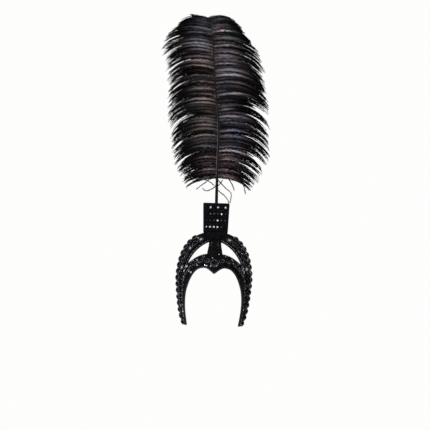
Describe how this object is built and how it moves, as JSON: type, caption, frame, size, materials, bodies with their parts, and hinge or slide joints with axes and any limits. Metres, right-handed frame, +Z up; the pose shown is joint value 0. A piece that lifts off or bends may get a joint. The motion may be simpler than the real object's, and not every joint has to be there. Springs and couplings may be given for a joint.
{
  "type": "feather headdress",
  "caption": "Black ceremonial headdress: pointed front band, standing padded rear band, strap and holder over the crown, cut-stone trims and one tall ostrich plume.",
  "frame": {"origin": "crown of the hollow that the head goes into, on the plane halfway between left and right", "axes": "+Z up, -Y the way the wearer looks, +X to the right in a front view"},
  "size_m": [0.2906, 0.1484, 0.8137],
  "materials": {
    "black_fabric": "matte",
    "satin_piping": "satin",
    "jet_stone": "gloss",
    "crystal_stone": "gloss",
    "wrapped_stem": "satin",
    "ostrich_feather": "satin"
  },
  "bodies": {
    "root": {"front_band": "black_fabric", "face_edge_piping": "satin_piping", "rear_band": "black_fabric", "crown_edge_piping": "satin_piping", "centre_strap": "black_fabric", "feather_holder": "black_fabric", "plume_stem": "wrapped_stem", "ostrich_plume": "ostrich_feather", "front_band_stones_left": "jet_stone", "front_band_stones_right": "jet_stone", "rear_face_stones_left": "jet_stone", "rear_face_stones_right": "jet_stone", "rear_edge_stones_left": "jet_stone", "rear_edge_stones_right": "jet_stone", "strap_stones": "jet_stone", "holder_stones": "crystal_stone", "centre_stone": "jet_stone"}
  },
  "joints": []
}
